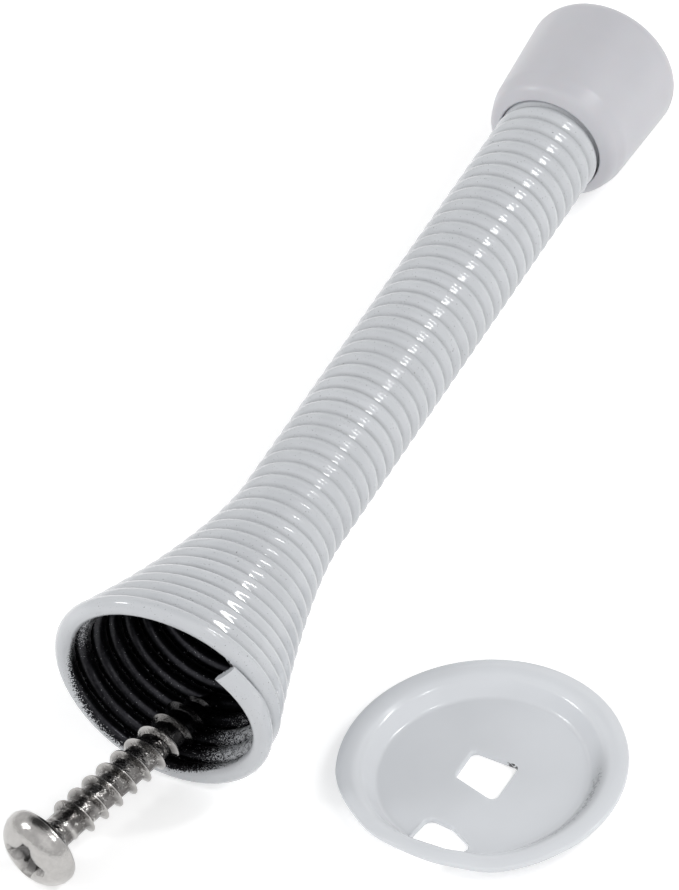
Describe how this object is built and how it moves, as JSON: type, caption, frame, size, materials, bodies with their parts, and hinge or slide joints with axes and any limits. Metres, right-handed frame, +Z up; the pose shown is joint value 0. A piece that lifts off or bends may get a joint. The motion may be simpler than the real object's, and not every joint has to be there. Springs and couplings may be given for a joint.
{
  "type": "spring door stop",
  "caption": "Door stop in loose pieces: a close-wound coil spring with a flared mouth and soft tip, a dished round base plate and a cross-recess wood screw.",
  "frame": {"origin": "centre of the base plate's square hole, on the plate's underside; every piece lies on the plane z = 0", "axes": "+Z up, out of the dished side of the plate; the spring lies beside it and points along +Y, from its flared mouth to its soft tip"},
  "size_m": [0.0419, 0.0944, 0.0184],
  "materials": {
    "painted_wire": "gloss white paint on steel spring wire, bare inside the mouth",
    "soft_tip": "white rubber, satin",
    "painted_sheet": "gloss white paint on pressed steel sheet",
    "screw_steel": "bright zinc-plated steel"
  },
  "bodies": {
    "root": {"spring": "painted_wire", "bumper_tip": "soft_tip", "base_plate": "painted_sheet", "wood_screw": "screw_steel"}
  },
  "joints": []
}
